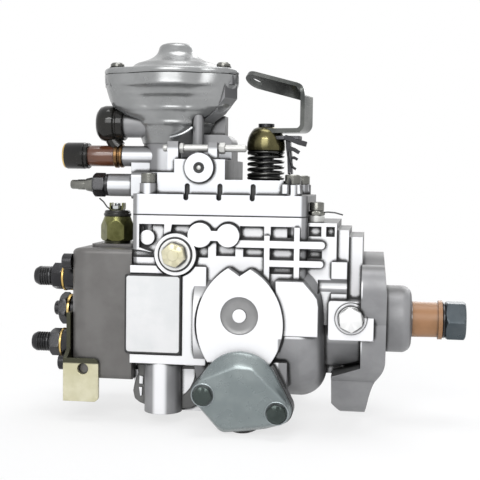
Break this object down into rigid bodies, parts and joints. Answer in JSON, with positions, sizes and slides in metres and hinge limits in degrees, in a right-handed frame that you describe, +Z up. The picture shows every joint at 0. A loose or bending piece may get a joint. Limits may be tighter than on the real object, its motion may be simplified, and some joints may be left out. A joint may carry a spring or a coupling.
{
  "type": "diesel injection pump",
  "caption": "Rotary distributor fuel injection pump with mounting flange, drive shaft, governor cover, boost compensator, throttle lever and delivery outlets.",
  "frame": {"origin": "on the drive shaft's axis, in the plane of the mounting flange's front face, at the root of the pilot", "axes": "+X along the drive shaft out of the drive end, +Z up to the governor cover and boost compensator, -Y the pictured side"},
  "size_m": [0.266, 0.1304, 0.231],
  "materials": {
    "cast_aluminium": "satin",
    "head_iron": "satin",
    "boost_casting": "satin",
    "timing_casting": "satin",
    "steel": "satin",
    "dark_steel": "satin",
    "yellow_zinc": "satin",
    "olive_zinc": "satin",
    "bright_zinc": "gloss",
    "gasket": "matte",
    "black_plastic": "gloss",
    "brown_plastic": "matte",
    "tube_brown": "matte",
    "brass": "satin",
    "seal_rubber": "matte",
    "bearing_bronze": "satin"
  },
  "bodies": {
    "pump_body": {"pump_housing": "cast_aluminium", "shaft_bush": "bearing_bronze", "shaft_seal": "seal_rubber", "feed_pump_ring": "steel", "feed_pump_plate": "steel", "governor_axle": "steel", "lever_pivot_bolts": "yellow_zinc", "distributor_head": "head_iron", "distributor_barrel": "steel", "delivery_holders": "dark_steel", "head_plug": "dark_steel", "head_screws": "dark_steel", "rear_bracket": "yellow_zinc", "solenoid_body": "olive_zinc", "solenoid_cap": "black_plastic", "cover_gasket": "gasket", "governor_cover": "cast_aluminium", "cover_screws": "yellow_zinc", "boost_cover": "boost_casting", "boost_screws": "olive_zinc", "boost_spring": "steel", "full_load_screw": "dark_steel", "return_connector": "tube_brown", "return_cap": "black_plastic", "boost_fitting": "black_plastic", "pressure_valve": "steel", "lock_bolt": "bright_zinc", "speed_screws": "dark_steel", "throttle_spring": "dark_steel", "data_plate": "bright_zinc", "timing_covers": "timing_casting", "timing_screws": "dark_steel", "timing_spring": "steel", "plunger_springs": "steel"},
    "drive": {"drive_shaft": "steel", "taper_sleeve": "brown_plastic", "shaft_washer": "dark_steel", "shaft_nut": "dark_steel", "feed_pump_rotor": "steel", "feed_pump_vanes": "steel", "governor_drive_gear": "steel", "cross_disc": "steel", "cam_plate": "steel", "distributor_plunger": "steel"},
    "governor": {"flyweight_carrier": "steel"},
    "weight_1": {"flyweight_1": "steel"},
    "weight_2": {"flyweight_2": "steel"},
    "weight_3": {"flyweight_3": "steel"},
    "weight_4": {"flyweight_4": "steel"},
    "sleeve": {"governor_sleeve": "steel"},
    "lever": {"governor_lever": "steel"},
    "spill": {"spill_ring": "steel"},
    "throttle": {"throttle_shaft": "steel", "spring_cup": "olive_zinc", "throttle_lever": "bright_zinc"},
    "advance_piston": {"timing_piston": "steel"},
    "advance_ring": {"roller_ring": "steel", "ring_rollers": "steel"},
    "diaphragm": {"boost_diaphragm": "seal_rubber"},
    "shut_off": {"solenoid_plunger": "steel"}
  },
  "joints": [
    {"name": "drive_spin", "type": "hinge", "parent": "pump_body", "child": "drive", "pos_m": [0, 0, 0], "axis": [1, 0, 0], "continuous": true},
    {"name": "governor_spin", "type": "hinge", "parent": "pump_body", "child": "governor", "pos_m": [0, 0, 0.054], "axis": [1, 0, 0], "continuous": true},
    {"name": "sleeve_slide", "type": "slide", "parent": "governor", "child": "sleeve", "axis": [-1, 0, 0], "range_m": [0, 0.0025], "stiffness_N_per_m": 2000, "springref_m": -0.001},
    {"name": "weight_1_hinge", "type": "hinge", "parent": "governor", "child": "weight_1", "pos_m": [-0.087, 0.01025, 0.06425], "axis": [0, 0.7071, -0.7071], "range_deg": [0, 16]},
    {"name": "weight_2_hinge", "type": "hinge", "parent": "governor", "child": "weight_2", "pos_m": [-0.087, -0.01025, 0.06425], "axis": [0, 0.7071, 0.7071], "range_deg": [0, 16]},
    {"name": "weight_3_hinge", "type": "hinge", "parent": "governor", "child": "weight_3", "pos_m": [-0.087, -0.01025, 0.04375], "axis": [0, -0.7071, 0.7071], "range_deg": [0, 16]},
    {"name": "weight_4_hinge", "type": "hinge", "parent": "governor", "child": "weight_4", "pos_m": [-0.087, 0.01025, 0.04375], "axis": [0, -0.7071, -0.7071], "range_deg": [0, 16]},
    {"name": "lever_tilt", "type": "hinge", "parent": "pump_body", "child": "lever", "pos_m": [-0.1234, 0, 0.0399], "axis": [0, -1, 0], "range_deg": [0, 10.5]},
    {"name": "spill_slide", "type": "slide", "parent": "pump_body", "child": "spill", "axis": [1, 0, 0], "range_m": [0, 0.0056]},
    {"name": "throttle_swing", "type": "hinge", "parent": "pump_body", "child": "throttle", "pos_m": [-0.0758, 0, 0.1], "axis": [0, 0, 1], "range_deg": [0, 45], "stiffness_Nm_per_rad": 0.5, "springref_deg": -11.46},
    {"name": "advance_slide", "type": "slide", "parent": "pump_body", "child": "advance_piston", "axis": [0, 1, 0], "range_m": [0, 0.006], "stiffness_N_per_m": 5000, "springref_m": -0.001, "deforming": ["timing_spring"]},
    {"name": "advance_swing", "type": "hinge", "parent": "pump_body", "child": "advance_ring", "pos_m": [0, 0, 0], "axis": [1, 0, 0], "range_deg": [0, 7.6]},
    {"name": "boost_slide", "type": "slide", "parent": "pump_body", "child": "diaphragm", "axis": [0, 0, -1], "range_m": [0, 0.004], "stiffness_N_per_m": 3000, "springref_m": -0.002, "deforming": ["boost_spring"]},
    {"name": "shut_off_lift", "type": "slide", "parent": "pump_body", "child": "shut_off", "axis": [0, 0, 1], "range_m": [0, 0.0015], "stiffness_N_per_m": 1500, "springref_m": -0.001}
  ],
  "couplings": [
    {"joint": "governor_spin", "follows": "drive_spin", "ratio": -1.25},
    {"joint": "weight_1_hinge", "follows": "sleeve_slide", "rad_per_m": 108.9},
    {"joint": "weight_2_hinge", "follows": "sleeve_slide", "rad_per_m": 108.9},
    {"joint": "weight_3_hinge", "follows": "sleeve_slide", "rad_per_m": 108.9},
    {"joint": "weight_4_hinge", "follows": "sleeve_slide", "rad_per_m": 108.9},
    {"joint": "lever_tilt", "follows": "sleeve_slide", "rad_per_m": 70.92},
    {"joint": "spill_slide", "follows": "sleeve_slide", "ratio": 2.237},
    {"joint": "advance_swing", "follows": "advance_slide", "rad_per_m": 21.978}
  ]
}
